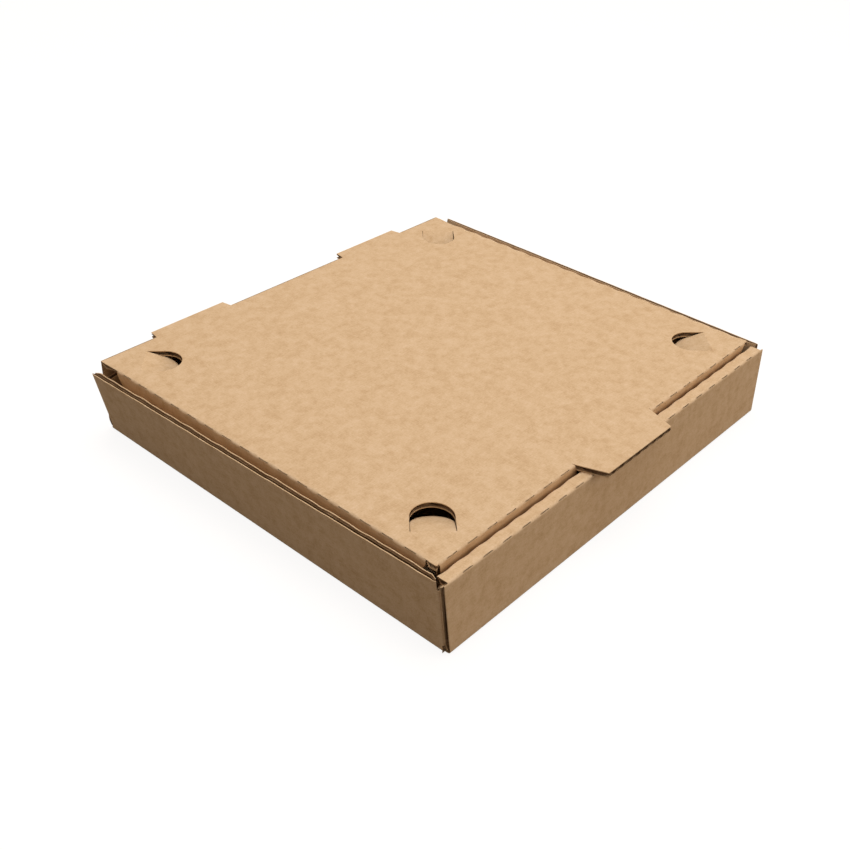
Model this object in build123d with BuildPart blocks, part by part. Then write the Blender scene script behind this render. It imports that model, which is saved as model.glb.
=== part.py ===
"""Corrugated pizza box, die-cut and folded from one sheet of brown B-flute board.

The tray has a roll-over front wall, plain side walls that spring outwards and a back wall. The lid
turns on the top crease of the back wall and tucks in with three flaps. Four punched vent flaps are
pushed a little way into the box. Millimetres, +Z up, the front wall faces -Y, and the origin is
under the middle of the tray.
"""
import os
from math import cos, hypot, radians, sin

from build123d import *

# Driving dimensions
board = 3.0  # thickness of the corrugated board
base_width = 260.0  # across the floor, between the side folds
base_depth = 245.0  # from the front fold to the back fold of the floor
front_height = 39.3  # underside of the floor to the top of the roll-over front wall
side_rise = 0.7  # how far the cut tops of the side walls stand above the front wall

front_lean = 2.5  # how far the top of the front wall leans into the box
back_lean = 2.3  # how far the top of the back wall leans into the box
side_lean_front = 3.0  # how far a side wall leans out, at its front end
side_lean_back = 8.8  # the same at its back end, where nothing holds it
panel_gap = 0.2  # air between one panel and the next where they lie together
panel_inset = 1.3  # the front and back walls stop this far inside the side walls' outer faces

rollover_gap = 0.6  # between the two boards of the front wall, at the top
rollover_foot = 3.5  # the same at the floor, with a dust flap between them
rollover_inset = 4.0  # the roll-over's inner panel stops this far inside the side folds
strip_inset = 0.7  # the strip on top stops this far inside the side folds

lock_width = 36.0  # tabs of the roll-over that lock into slots of the floor
lock_pitch = 130.0
lock_drop = 2.6  # how far they reach down into the floor

dust_length = 55.0  # dust flaps, folded in from the ends of the side walls
dust_taper = 12.0
front_dust_drop = 4.3  # the front dust flaps end this far below the strip
back_dust_drop = 2.0  # the back dust flaps end this far below the heel notches

lid_rest = 0.2  # air between the thumb tab and the strip that it lies on
lid_front_gap = 1.4  # between the strip and the lid's front crease
lid_front_inset = 2.2  # the lid's side creases, in from the side folds, at the front
lid_back_inset = -0.2  # the same at the hinge
hinge_gap = 0.3  # crushed crease between the lid and the back wall

tuck_clear = 8.5  # under the front tuck flap of the lid, to the floor
tuck_lean = 3.0
tuck_end = 2.0
tuck_taper = 9.0
side_tuck_clear = 6.5  # under the side tuck flaps, to the floor
side_tuck_lean = 1.8
side_tuck_front = 6.0
side_tuck_back = 14.0
side_tuck_taper = 16.0

thumb_root = 63.0  # thumb tab on the front edge of the lid
thumb_tip = 52.4
thumb_overhang = 4.0  # beyond the front fold of the floor
cut_gap = 0.3  # width of a die cut

heel_width = 51.0  # the two heel tabs that stand out behind the hinge
heel_pitch = 139.0
heel_length = 6.3
heel_taper = 1.0
heel_clear = 0.5

vent_width = 19.5  # vent flap, across its hinge
vent_length = 19.5  # vent flap, hinge to rounded end
vent_set = 15.6  # middle of the vent's hinge line, in from each crease of its corner
vent_turn = 45.0  # the way the rounded end points, from the side crease
vent_drop = 20.0  # how far the flap is pushed in, degrees
vent_mitre = 30.0  # undercut of the board at the vent's hinge line, degrees

outer_fold = 1.8  # radius outside a fold
score_pitch = 13.0  # cut-scores along the folds
score_cut = 6.3
score_gap = 0.5
score_depth = 1.0

# Places worked out from them
half_width = base_width / 2
front_fold = -base_depth / 2
back_fold = base_depth / 2
side_height = front_height + side_rise
lid_top = front_height + board + lid_rest
lid_under = lid_top - board
hinge_y = back_fold - back_lean
lid_half_front = half_width - lid_front_inset
lid_half_back = half_width - lid_back_inset
strip_front = front_fold + front_lean
strip_back = strip_front + 2 * board + rollover_gap
strip_under = front_height - board
roll_foot = front_fold + 3 * board + rollover_foot
lid_front = strip_back + lid_front_gap
panel_foot = half_width - panel_inset
heel_drop = hypot(heel_length, board) + heel_clear
back_dust_top = lid_top - heel_drop - back_dust_drop
front_dust_top = front_height - front_dust_drop
tuck_low = board + tuck_clear
side_tuck_low = board + side_tuck_clear
fold_leg = 3 * board
fold_sink = outer_fold * (hypot(1, 1) - 1)  # from the sharp corner of a fold in to its round
reach = base_width + base_depth
along = Plane.YZ
across = Plane.XZ


def front_inner(z):
    """Inside face of the front wall's outer panel."""
    return front_fold + board + front_lean * z / front_height


def roll_outer(z):
    """Pocket side of the roll-over's inner panel."""
    share = (z - board) / (strip_under - board)
    return roll_foot - board + (strip_back - roll_foot) * share


def nip_height():
    """Where the pocket of the front wall is just wide enough for a dust flap."""
    wide = roll_outer(board) - front_inner(board)
    narrow = roll_outer(strip_under) - front_inner(strip_under)
    share = (wide - board - 2 * panel_gap) / (wide - narrow)
    return board + (strip_under - board) * share


def back_inner(z):
    """Inside face of the back wall."""
    return back_fold - board - back_lean * z / lid_top


def side_lean(y):
    """How far a side wall leans out at a place along the box."""
    share = (y - front_fold) / base_depth
    return side_lean_front + (side_lean_back - side_lean_front) * share


def lid_half(y):
    """Half the lid's width at a place along the box."""
    share = (y - lid_front) / (hinge_y - lid_front)
    return lid_half_front + (lid_half_back - lid_half_front) * share


def score_row(start, end, outward, margin):
    """Places of the cut-scores along a fold, with Z pointing out of the fold."""
    line = Vector(*end) - Vector(*start)
    middle = (Vector(*start) + Vector(*end)) * 0.5
    count = int((line.length - 2 * margin) // score_pitch)
    fold = Plane(origin=middle, x_dir=line, z_dir=outward)
    steps = [(i - (count - 1) / 2) * score_pitch for i in range(count)]
    return [fold.offset(-fold_sink) * Location((step, 0, 0)) for step in steps]


# Floor, with the slots that the roll-over locks into
lock_places = GridLocations(lock_pitch, 1, 2, 1).locations
with BuildPart() as floor:
    with BuildSketch():
        Rectangle(base_width - 2 * outer_fold, base_depth - 2 * outer_fold)
        with Locations((0, roll_foot - board / 2)):
            with Locations(*lock_places):
                Rectangle(lock_width + 2 * panel_gap, board + 2 * panel_gap, mode=Mode.SUBTRACT)
    extrude(amount=board)

# Front wall: outer panel, strip and inner panel, rolled over in one piece
with BuildPart() as front_wall:
    with BuildSketch(along):
        section = Polygon(
            (front_fold, 0),
            (strip_front, front_height),
            (strip_back, front_height),
            (roll_foot, board + panel_gap),
            (roll_foot - board, board + panel_gap),
            (strip_back - board, strip_under),
            (strip_front + board, strip_under),
            (front_fold + board, board),
            (front_fold + fold_leg - board, board),
            (front_fold + fold_leg - board, 0),
            align=None,
        )
        fillet(section.vertices().group_by(Axis.Y)[-1], radius=outer_fold)
        fillet(section.vertices().group_by(Axis.Y)[0].sort_by(Axis.X)[0], radius=outer_fold)
    extrude(amount=reach, both=True)
    with BuildSketch(across):
        front_top = panel_foot + side_lean_front
        Polygon(
            (-panel_foot, 0),
            (panel_foot, 0),
            (front_top, front_height),
            (-front_top, front_height),
            align=None,
        )
    extrude(amount=reach, both=True, mode=Mode.INTERSECT)
    # The strip stops inside the side walls, and the inner panel stands clear of them
    for side in (-1, 1):
        with BuildSketch(along.offset(side * (half_width - strip_inset))):
            Polygon(
                (front_inner(0), -board),
                (front_inner(2 * front_height), 2 * front_height),
                (roll_foot + board, 2 * front_height),
                (roll_foot + board, -board),
                align=None,
            )
        extrude(amount=side * reach, mode=Mode.SUBTRACT)
        with BuildSketch(along.offset(side * (half_width - rollover_inset))):
            Polygon(
                (front_inner(0), board),
                (front_inner(strip_under), strip_under),
                (roll_foot + board, strip_under),
                (roll_foot + board, board),
                align=None,
            )
        extrude(amount=side * reach, mode=Mode.SUBTRACT)
    with Locations(*lock_places):
        with Locations((0, roll_foot - board / 2, board - lock_drop)):
            tab_size = (lock_width, board, lock_drop + board)
            Box(*tab_size, align=(Align.CENTER, Align.CENTER, Align.MIN))
    fold_start = (-panel_foot, strip_front, front_height)
    fold_end = (panel_foot, strip_front, front_height)
    with Locations(*score_row(fold_start, fold_end, (0, -1, 1), score_pitch / 2)):
        Box(score_cut, score_gap, 2 * score_depth, mode=Mode.SUBTRACT)

# Back wall, its top crease mitred under the lid and cut away where the heel tabs came from
with BuildPart() as back_wall:
    with BuildSketch(along):
        section = Polygon(
            (back_fold, 0),
            (hinge_y, lid_top - hinge_gap),
            (hinge_y - board, lid_under - hinge_gap),
            (back_fold - board, board),
            (back_fold - fold_leg + board, board),
            (back_fold - fold_leg + board, 0),
            align=None,
        )
        fillet(section.vertices().group_by(Axis.Y)[0].sort_by(Axis.X)[-1], radius=outer_fold)
    extrude(amount=reach, both=True)
    with BuildSketch(across):
        back_top = panel_foot + side_lean_back
        Polygon(
            (-panel_foot, 0),
            (panel_foot, 0),
            (back_top, side_height),
            (lid_half_back, lid_top),
            (-lid_half_back, lid_top),
            (-back_top, side_height),
            align=None,
        )
    extrude(amount=reach, both=True, mode=Mode.INTERSECT)
    with BuildSketch(across):
        with Locations((0, lid_top)):
            with GridLocations(heel_pitch, 1, 2, 1):
                notch = (heel_width + 2 * heel_clear, heel_drop)
                Rectangle(*notch, align=(Align.CENTER, Align.MAX))
    extrude(amount=-reach, mode=Mode.SUBTRACT)

# Right side wall, springing outwards towards the back, with the dust flap at each of its ends
wall_front = front_inner(0) + panel_gap
wall_back = back_inner(0) - panel_gap
with BuildPart() as side_wall:
    for y in (wall_front - board, wall_back + board):
        lean = side_lean(y)
        with BuildSketch(across.offset(-y)):
            section = Polygon(
                (half_width - board, 0),
                (half_width, 0),
                (half_width + lean, side_height),
                (half_width + lean - board, side_height),
                align=None,
            )
            fillet(section.vertices().group_by(Axis.Y)[0].sort_by(Axis.X)[-1], radius=outer_fold)
    loft(ruled=True)
    with BuildSketch(along):
        Polygon(
            (front_inner(0) + panel_gap, 0),
            (front_inner(side_height) + panel_gap, side_height),
            (back_inner(side_height) - panel_gap, side_height),
            (back_inner(0) - panel_gap, 0),
            align=None,
        )
    extrude(amount=reach, both=True, mode=Mode.INTERSECT)

flap_foot = board + panel_gap
with BuildPart() as front_dust:
    with BuildSketch(across):
        lean = side_lean(wall_front)
        Polygon(
            (half_width + lean * flap_foot / side_height, flap_foot),
            (half_width + lean * front_dust_top / side_height, front_dust_top),
            (half_width - dust_length, nip_height()),
            (half_width - dust_length, flap_foot),
            align=None,
        )
    extrude(amount=reach, both=True)
    with BuildSketch(along):
        Polygon(
            (front_inner(flap_foot) + panel_gap, flap_foot),
            (front_inner(front_dust_top) + panel_gap, front_dust_top),
            (roll_outer(front_dust_top) - panel_gap, front_dust_top),
            (roll_outer(nip_height()) - panel_gap, nip_height()),
            (front_inner(flap_foot) + panel_gap + board, flap_foot),
            align=None,
        )
    extrude(amount=reach, both=True, mode=Mode.INTERSECT)

with BuildPart() as back_dust:
    with BuildSketch(across):
        lean = side_lean(wall_back)
        Polygon(
            (half_width + lean * flap_foot / side_height, flap_foot),
            (half_width + lean * back_dust_top / side_height, back_dust_top),
            (half_width - dust_length + dust_taper, back_dust_top),
            (half_width - dust_length, back_dust_top - dust_taper),
            (half_width - dust_length, flap_foot),
            align=None,
        )
    extrude(amount=reach, both=True)
    with BuildSketch(along):
        Polygon(
            (back_inner(flap_foot) - panel_gap, flap_foot),
            (back_inner(back_dust_top) - panel_gap, back_dust_top),
            (back_inner(back_dust_top) - panel_gap - board, back_dust_top),
            (back_inner(flap_foot) - panel_gap - board, flap_foot),
            align=None,
        )
    extrude(amount=reach, both=True, mode=Mode.INTERSECT)

# Tray: everything below the hinge, one piece of board
with BuildPart() as tray:
    add(floor.part)
    add(front_wall.part)
    add(back_wall.part)
    for piece in (side_wall.part, front_dust.part, back_dust.part):
        add(piece)
        add(piece.mirror(Plane.YZ))
tray.part.label = "tray"

# Front tuck flap of the lid, with the hole that the thumb tab was cut from
thumb_length = lid_front - front_fold + thumb_overhang
with BuildPart() as front_tuck:
    with BuildSketch(along):
        section = Polygon(
            (lid_front, lid_top),
            (lid_front + fold_leg, lid_top),
            (lid_front + fold_leg, lid_under),
            (lid_front + board, lid_under),
            (lid_front + board + tuck_lean, tuck_low),
            (lid_front + tuck_lean, tuck_low),
            align=None,
        )
        fillet(section.vertices().group_by(Axis.Y)[-1].sort_by(Axis.X)[0], radius=outer_fold)
    extrude(amount=reach, both=True)
    with BuildSketch(across):
        flap_half = lid_half_front - tuck_end
        Polygon(
            (-flap_half, lid_top),
            (flap_half, lid_top),
            (flap_half, lid_under),
            (flap_half - tuck_taper, tuck_low),
            (tuck_taper - flap_half, tuck_low),
            (-flap_half, lid_under),
            align=None,
        )
        Polygon(
            (-thumb_root / 2 - cut_gap, lid_top),
            (thumb_root / 2 + cut_gap, lid_top),
            (thumb_tip / 2 + cut_gap, lid_top - thumb_length),
            (-thumb_tip / 2 - cut_gap, lid_top - thumb_length),
            align=None,
            mode=Mode.SUBTRACT,
        )
    extrude(amount=reach, both=True, mode=Mode.INTERSECT)
    for side in (-1, 1):
        fold_start = (side * thumb_root / 2, lid_front, lid_top)
        fold_end = (side * flap_half, lid_front, lid_top)
        with Locations(*score_row(fold_start, fold_end, (0, -1, 1), 0)):
            Box(score_cut, score_gap, 2 * score_depth, mode=Mode.SUBTRACT)

# Right side tuck flap of the lid
tuck_start = lid_front + side_tuck_front
tuck_stop = hinge_y - side_tuck_back
with BuildPart() as side_tuck:
    for y in (lid_front, hinge_y):
        crease = lid_half(y)
        with BuildSketch(across.offset(-y)):
            section = Polygon(
                (crease, lid_top),
                (crease - fold_leg, lid_top),
                (crease - fold_leg, lid_under),
                (crease - board, lid_under),
                (crease - board - side_tuck_lean, side_tuck_low),
                (crease - side_tuck_lean, side_tuck_low),
                align=None,
            )
            fillet(section.vertices().group_by(Axis.Y)[-1].sort_by(Axis.X)[-1], radius=outer_fold)
    loft(ruled=True)
    with BuildSketch(along):
        Polygon(
            (lid_front + board, lid_top),
            (hinge_y - board, lid_top),
            (hinge_y - board, lid_under),
            (tuck_stop, lid_under),
            (tuck_stop - side_tuck_taper, side_tuck_low),
            (tuck_start + side_tuck_taper, side_tuck_low),
            (tuck_start, lid_under),
            (lid_front + board, lid_under),
            align=None,
        )
    extrude(amount=reach, both=True, mode=Mode.INTERSECT)
    fold_start = (lid_half(tuck_start), tuck_start, lid_top)
    fold_end = (lid_half(tuck_stop), tuck_stop, lid_top)
    with Locations(*score_row(fold_start, fold_end, (1, 0, 1), 0)):
        Box(score_cut, score_gap, 2 * score_depth, mode=Mode.SUBTRACT)

# Thumb tab and heel tabs, level with the lid
with BuildPart() as tabs:
    with BuildSketch(Plane.XY.offset(lid_under)):
        Polygon(
            (-thumb_root / 2, lid_front + fold_leg),
            (-thumb_root / 2, lid_front),
            (-thumb_tip / 2, front_fold - thumb_overhang),
            (thumb_tip / 2, front_fold - thumb_overhang),
            (thumb_root / 2, lid_front),
            (thumb_root / 2, lid_front + fold_leg),
            align=None,
        )
        with GridLocations(heel_pitch, 1, 2, 1):
            Polygon(
                (-heel_width / 2, hinge_y - fold_leg),
                (-heel_width / 2, hinge_y),
                (heel_taper - heel_width / 2, hinge_y + heel_length),
                (heel_width / 2 - heel_taper, hinge_y + heel_length),
                (heel_width / 2, hinge_y),
                (heel_width / 2, hinge_y - fold_leg),
                align=None,
            )
    extrude(amount=board)


def vent_hinge(right, back):
    """Plane on top of the lid at a vent's hinge line, with Y towards the rounded end."""
    crease_y = hinge_y if back else lid_front
    crease_x = lid_half(crease_y)
    side = 1 if right else -1
    end = 1 if back else -1
    spot = (side * (crease_x - vent_set), crease_y - end * vent_set, lid_top)
    inward = Vector(-side * sin(radians(vent_turn)), -end * cos(radians(vent_turn)), 0)
    return Plane(origin=spot, x_dir=inward.cross(Vector(0, 0, 1)), z_dir=(0, 0, 1))


def tipped(plane, angle):
    """The plane turned about its own X axis by an angle in degrees."""
    normal = plane.z_dir * cos(radians(angle)) - plane.y_dir * sin(radians(angle))
    return Plane(origin=plane.origin, x_dir=plane.x_dir, z_dir=normal)


def vent_plug(hinge, grow, over, slope, root):
    """Round-ended plug of board beyond a vent's hinge line, its root sloped under the board."""
    half = vent_width / 2 + grow
    straight = vent_length - vent_width / 2
    with BuildPart() as plug:
        with BuildSketch(hinge.offset(-board - over)):
            with BuildLine():
                Line((-half, straight), (-half, -board))
                Line((-half, -board), (half, -board))
                Line((half, -board), (half, straight))
                ThreePointArc((half, straight), (0, straight + half), (-half, straight))
            make_face()
        extrude(amount=board + 2 * over)
        split(bisect_by=tipped(hinge, slope - 90).offset(root), keep=Keep.TOP)
    return plug.part


# Lid: top panel with its tabs, tuck flaps and vent holes, one piece of board
corners = {
    "front_left": vent_hinge(right=False, back=False),
    "front_right": vent_hinge(right=True, back=False),
    "back_left": vent_hinge(right=False, back=True),
    "back_right": vent_hinge(right=True, back=True),
}
with BuildPart() as lid:
    with BuildSketch(Plane.XY.offset(lid_under)):
        Polygon(
            (-lid_half(lid_front + 2 * board), lid_front + 2 * board),
            (-lid_half_back, hinge_y),
            (lid_half_back, hinge_y),
            (lid_half(lid_front + 2 * board), lid_front + 2 * board),
            align=None,
        )
    extrude(amount=board)
    sides = lid.edges().group_by(Axis.Z)[-1].filter_by(lambda edge: abs(edge.tangent_at(0).Y) > 0.9)
    fillet(sides, radius=outer_fold)
    with BuildSketch(along):
        Polygon(
            (hinge_y, lid_top),
            (hinge_y - board, lid_under),
            (hinge_y + board, lid_under),
            (hinge_y + board, lid_top),
            align=None,
        )
    extrude(amount=reach, both=True, mode=Mode.SUBTRACT)
    add(tabs.part)
    add(front_tuck.part)
    add(side_tuck.part)
    add(side_tuck.part.mirror(Plane.YZ))
    for hinge in corners.values():
        add(vent_plug(hinge, cut_gap, board, -vent_mitre, 0), mode=Mode.SUBTRACT)
lid.part.label = "lid"

os.makedirs("parts", exist_ok=True)
export_step(tray.part, "parts/tray.step")
export_step(lid.part, "parts/lid.step")

# Vent flaps, each still joined to the lid along its hinge line and pushed in
for corner, hinge in corners.items():
    with BuildPart() as vent_flap:
        add(vent_plug(tipped(hinge, -vent_drop), 0, 0, vent_mitre, hinge_gap))
    vent_flap.part.label = f"vent_flap_{corner}"
    export_step(vent_flap.part, f"parts/vent_flap_{corner}.step")
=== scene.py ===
"""Corrugated pizza box, die-cut from one sheet of brown kraft board, creased and folded shut.

The tray and the lid are each cut flat from three layers, two liners with a fluted medium between
them, and then folded along their creases, as the real blank is.
"""
from collections import namedtuple
from math import atan2, cos, hypot, pi, radians, sin, sqrt, tan

import bmesh
import bpy
import numpy as np
from mathutils import Matrix, Vector


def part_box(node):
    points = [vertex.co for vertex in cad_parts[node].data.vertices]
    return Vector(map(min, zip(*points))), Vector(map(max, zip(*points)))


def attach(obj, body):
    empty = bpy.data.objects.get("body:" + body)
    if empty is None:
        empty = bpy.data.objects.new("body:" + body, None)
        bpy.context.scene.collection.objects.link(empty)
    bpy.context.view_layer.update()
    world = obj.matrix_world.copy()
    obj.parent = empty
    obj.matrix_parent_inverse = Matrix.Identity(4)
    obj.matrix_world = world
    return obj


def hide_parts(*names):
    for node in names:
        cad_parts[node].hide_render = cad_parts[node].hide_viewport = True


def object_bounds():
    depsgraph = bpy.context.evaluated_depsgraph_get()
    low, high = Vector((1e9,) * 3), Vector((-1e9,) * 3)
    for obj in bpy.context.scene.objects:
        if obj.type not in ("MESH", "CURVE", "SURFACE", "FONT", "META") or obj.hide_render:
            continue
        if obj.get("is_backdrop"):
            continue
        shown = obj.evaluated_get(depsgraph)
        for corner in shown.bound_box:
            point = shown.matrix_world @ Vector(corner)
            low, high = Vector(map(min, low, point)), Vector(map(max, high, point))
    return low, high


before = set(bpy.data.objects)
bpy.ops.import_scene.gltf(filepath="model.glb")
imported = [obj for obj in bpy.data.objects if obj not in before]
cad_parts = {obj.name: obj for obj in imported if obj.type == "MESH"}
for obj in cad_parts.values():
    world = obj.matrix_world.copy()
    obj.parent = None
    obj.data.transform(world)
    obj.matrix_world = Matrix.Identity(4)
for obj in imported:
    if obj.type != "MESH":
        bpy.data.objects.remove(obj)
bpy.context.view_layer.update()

MM = 0.001
BOARD = 3.0
LINER = 0.45
PAPER = 0.32
FLUTE_PITCH = 6.7
FLUTE_STEPS = 10
FLUTE_SKEW = 0.010

LINER_TONE = (0.655, 0.458, 0.268)
LINER_PALE = (0.735, 0.535, 0.345)
LINER_DEEP = (0.540, 0.350, 0.185)
# Pale tone painted on the liners' cut edges and along fold crowns as a highlight.
EDGE_HIGHLIGHT_TONE = (0.820, 0.640, 0.450)
# Near-black brown for the medium: its paper colour darkened as painted shade of the flute channels.
MEDIUM_AND_SHADE_TONE = (0.150, 0.085, 0.040)
MEDIUM_CUT_TONE = (0.340, 0.215, 0.120)


def wire(tree, source, target):
    tree.links.new(source, target)


def fibre_group():
    """Pulp mottle of kraft paper: soft clouds, short pale and dark fibres, and a few specks."""
    tree = bpy.data.node_groups.new("kraft_fibres", "ShaderNodeTree")
    face = tree.interface
    face.new_socket("Position", in_out="INPUT", socket_type="NodeSocketVector")
    for label, value in (("Cloud Size", 9.0), ("Fibre Size", 1.1), ("Strength", 1.0)):
        face.new_socket(label, in_out="INPUT", socket_type="NodeSocketFloat").default_value = value
    for label in ("Tone", "Highlight Mottle", "Height"):
        face.new_socket(label, in_out="OUTPUT", socket_type="NodeSocketFloat")
    nodes = tree.nodes
    given = nodes.new("NodeGroupInput")
    result = nodes.new("NodeGroupOutput")

    def math(operation, a, b, clamp=False):
        node = nodes.new("ShaderNodeMath")
        node.operation = operation
        node.use_clamp = clamp
        for socket, value in zip(node.inputs, (a, b)):
            if isinstance(value, (int, float)):
                socket.default_value = value
            else:
                wire(tree, value, socket)
        return node.outputs[0]

    def noise(size, detail, rough, stretch=(1, 1, 1), turn=0.0):
        place = nodes.new("ShaderNodeMapping")
        place.inputs["Scale"].default_value = [1 / MM * s for s in stretch]
        place.inputs["Rotation"].default_value = (0.0, 0.0, turn)
        wire(tree, given.outputs["Position"], place.inputs["Vector"])
        node = nodes.new("ShaderNodeTexNoise")
        wire(tree, place.outputs[0], node.inputs["Vector"])
        wire(tree, math("DIVIDE", 1.0, size), node.inputs["Scale"])
        node.inputs["Detail"].default_value = detail
        node.inputs["Roughness"].default_value = rough
        return math("SUBTRACT", node.outputs["Fac"], 0.5)

    cloud = noise(given.outputs["Cloud Size"], 3.0, 0.55)
    fibre = noise(given.outputs["Fibre Size"], 4.0, 0.7)
    long_fibre = noise(given.outputs["Fibre Size"], 2.0, 0.6, (1.6, 0.22, 1.0), 0.5)
    cross_fibre = noise(given.outputs["Fibre Size"], 2.0, 0.6, (0.25, 1.5, 1.0), 0.35)
    hairs = math("ADD", long_fibre, cross_fibre)
    tone = math("ADD", math("MULTIPLY", cloud, 1.0), math("MULTIPLY", fibre, 0.9))
    tone = math("ADD", tone, math("MULTIPLY", hairs, 0.45))
    tone = math("MULTIPLY", tone, given.outputs["Strength"])
    wire(tree, math("ADD", tone, 0.5, clamp=True), result.inputs["Tone"])
    # Fibre pattern that breaks up the painted fold highlight.
    wire(tree, math("ADD", math("MULTIPLY", fibre, 1.2), 0.5, clamp=True), result.inputs["Highlight Mottle"])
    wire(tree, math("ADD", fibre, hairs), result.inputs["Height"])
    return tree


KRAFT_FIBRES = fibre_group()


def paper(name, tones, highlight_tone, roughness, strength, bump, cloud=9.0, fibre=1.1):
    """Paper finish: three tones through the fibre mottle, with a painted highlight, paler, along the round of each
    fold.
    """
    material = bpy.data.materials.new(name)
    material.use_nodes = True
    tree = material.node_tree
    nodes = tree.nodes
    shader = nodes["Principled BSDF"]
    place = nodes.new("ShaderNodeTexCoord")
    group = nodes.new("ShaderNodeGroup")
    group.node_tree = KRAFT_FIBRES
    group.inputs["Cloud Size"].default_value = cloud
    group.inputs["Fibre Size"].default_value = fibre
    group.inputs["Strength"].default_value = strength
    wire(tree, place.outputs["Object"], group.inputs["Position"])
    ramp = nodes.new("ShaderNodeValToRGB")
    deep, middle, pale = tones
    ramp.color_ramp.elements[0].position = 0.1
    ramp.color_ramp.elements[0].color = (*deep, 1)
    ramp.color_ramp.elements[1].position = 0.9
    ramp.color_ramp.elements[1].color = (*pale, 1)
    ramp.color_ramp.elements.new(0.5).color = (*middle, 1)
    wire(tree, group.outputs["Tone"], ramp.inputs["Fac"])
    # Painted highlight: the pale tone mixed in along the crown of each fold, broken up by the fibres.
    highlight_attribute = nodes.new("ShaderNodeAttribute")
    highlight_attribute.attribute_name = "fold_highlight"
    crease_highlight = nodes.new("ShaderNodeMath")
    crease_highlight.operation = "MULTIPLY"
    wire(tree, highlight_attribute.outputs["Fac"], crease_highlight.inputs[0])
    wire(tree, group.outputs["Highlight Mottle"], crease_highlight.inputs[1])
    mix = nodes.new("ShaderNodeMix")
    mix.data_type = "RGBA"
    wire(tree, crease_highlight.outputs[0], mix.inputs["Factor"])
    wire(tree, ramp.outputs["Color"], mix.inputs[6])
    mix.inputs[7].default_value = (*highlight_tone, 1)
    wire(tree, mix.outputs[2], shader.inputs["Base Color"])
    low, high = roughness
    spread = nodes.new("ShaderNodeMapRange")
    spread.inputs["To Min"].default_value = high
    spread.inputs["To Max"].default_value = low
    wire(tree, group.outputs["Tone"], spread.inputs["Value"])
    wire(tree, spread.outputs["Result"], shader.inputs["Roughness"])
    relief = nodes.new("ShaderNodeBump")
    relief.inputs["Strength"].default_value = bump
    relief.inputs["Distance"].default_value = 0.06 * MM
    wire(tree, group.outputs["Height"], relief.inputs["Height"])
    wire(tree, relief.outputs["Normal"], shader.inputs["Normal"])
    shader.inputs["Specular IOR Level"].default_value = 0.25
    return material


LINER_FACE = paper("kraft_liner", (LINER_DEEP, LINER_TONE, LINER_PALE), EDGE_HIGHLIGHT_TONE, (0.78, 0.92), 0.95, 0.5, 5.0, 0.9)
# The liners' cut edges: a lighter copy of the liner finish, a painted highlight.
CUT_EDGE_HIGHLIGHT = paper("kraft_cut_edge_highlight", (LINER_TONE, EDGE_HIGHLIGHT_TONE, EDGE_HIGHLIGHT_TONE), EDGE_HIGHLIGHT_TONE, (0.85, 0.95), 1.0, 0.8, 3.0, 0.5)
# The medium's finish, dark as painted shade; it is also laid on liner faces inside the flutes.
MEDIUM_AND_CAVITY_SHADE = paper("kraft_medium_and_cavity_shade", (MEDIUM_AND_SHADE_TONE, MEDIUM_AND_SHADE_TONE, MEDIUM_CUT_TONE), MEDIUM_AND_SHADE_TONE, (0.88, 0.97), 1.0, 0.8)
MEDIUM_CUT = paper("kraft_medium_cut", (MEDIUM_AND_SHADE_TONE, MEDIUM_CUT_TONE, MEDIUM_CUT_TONE), MEDIUM_CUT_TONE, (0.88, 0.97), 1.0, 0.8)


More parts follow.
